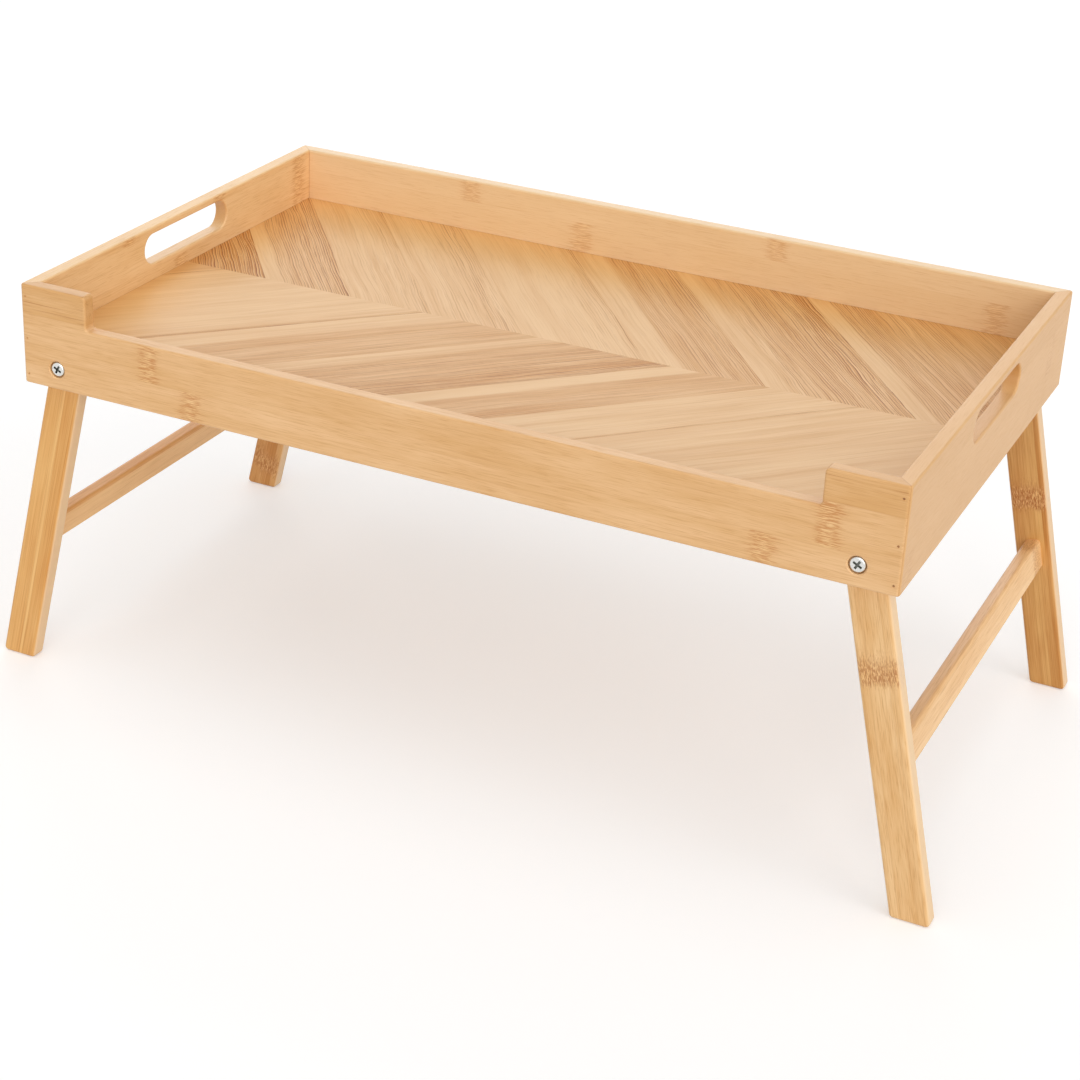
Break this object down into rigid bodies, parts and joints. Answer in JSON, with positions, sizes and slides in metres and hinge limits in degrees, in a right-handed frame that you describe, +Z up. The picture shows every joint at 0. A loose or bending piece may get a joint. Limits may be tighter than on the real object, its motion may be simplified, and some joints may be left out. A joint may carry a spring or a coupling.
{
  "type": "bed tray table",
  "caption": "Bamboo bed tray with a chevron veneer floor, hand slots, a lowered front edge and leg frames that fold flat underneath.",
  "frame": {"origin": "on the floor under the middle of the tray, with the legs open", "axes": "+X along the tray's length, -Y towards the lowered front edge where the user sits, +Z up"},
  "size_m": [0.5662, 0.3, 0.24],
  "materials": {
    "rail_bamboo": "satin lacquered laminated bamboo with fine long fibres and darker node bands",
    "leg_bamboo": "satin lacquered bamboo, a little more orange than the rails",
    "face_veneer": "satin lacquered rustic oak-look veneer, strips from light cream to dark brown with dark streaks",
    "back_veneer": "plain sanded balancing veneer",
    "panel_core": "raw thin fibreboard",
    "zinc_steel": "bright zinc plate",
    "washer_nylon": "natural nylon",
    "insert_zinc": "cast zinc alloy",
    "dowel_wood": "raw beech",
    "brad_steel": "bright wire, dulled"
  },
  "bodies": {
    "tray": {"back_left_corner_brads": "brad_steel", "back_rail": "rail_bamboo", "back_right_corner_brads": "brad_steel", "back_veneer_strip_01": "face_veneer", "back_veneer_strip_02": "face_veneer", "back_veneer_strip_03": "face_veneer", "back_veneer_strip_04": "face_veneer", "back_veneer_strip_05": "face_veneer", "back_veneer_strip_06": "face_veneer", "back_veneer_strip_07": "face_veneer", "back_veneer_strip_08": "face_veneer", "back_veneer_strip_09": "face_veneer", "back_veneer_strip_10": "face_veneer", "front_left_corner_brads": "brad_steel", "front_rail": "rail_bamboo", "front_right_corner_brads": "brad_steel", "front_veneer_strip_01": "face_veneer", "front_veneer_strip_02": "face_veneer", "front_veneer_strip_03": "face_veneer", "front_veneer_strip_04": "face_veneer", "front_veneer_strip_05": "face_veneer", "front_veneer_strip_06": "face_veneer", "front_veneer_strip_07": "face_veneer", "front_veneer_strip_08": "face_veneer", "front_veneer_strip_09": "face_veneer", "front_veneer_strip_10": "face_veneer", "left_rail": "rail_bamboo", "panel_back_veneer": "back_veneer", "panel_core": "panel_core", "right_rail": "rail_bamboo"},
    "left_leg_frame": {"left_back_leg": "leg_bamboo", "left_back_pivot_screw": "zinc_steel", "left_back_pivot_washer": "washer_nylon", "left_back_thread_insert": "insert_zinc", "left_front_leg": "leg_bamboo", "left_front_pivot_screw": "zinc_steel", "left_front_pivot_washer": "washer_nylon", "left_front_thread_insert": "insert_zinc", "left_stretcher": "leg_bamboo", "left_stretcher_dowels": "dowel_wood"},
    "right_leg_frame": {"right_back_leg": "leg_bamboo", "right_back_pivot_screw": "zinc_steel", "right_back_pivot_washer": "washer_nylon", "right_back_thread_insert": "insert_zinc", "right_front_leg": "leg_bamboo", "right_front_pivot_screw": "zinc_steel", "right_front_pivot_washer": "washer_nylon", "right_front_thread_insert": "insert_zinc", "right_stretcher": "leg_bamboo", "right_stretcher_dowels": "dowel_wood"}
  },
  "joints": [
    {"name": "left_leg_fold", "type": "hinge", "parent": "tray", "child": "left_leg_frame", "pos_m": [-0.22816, 0, 0.194], "axis": [0, -1, 0], "range_deg": [0, 103]},
    {"name": "right_leg_fold", "type": "hinge", "parent": "tray", "child": "right_leg_frame", "pos_m": [0.22816, 0, 0.194], "axis": [0, 1, 0], "range_deg": [0, 103]}
  ]
}
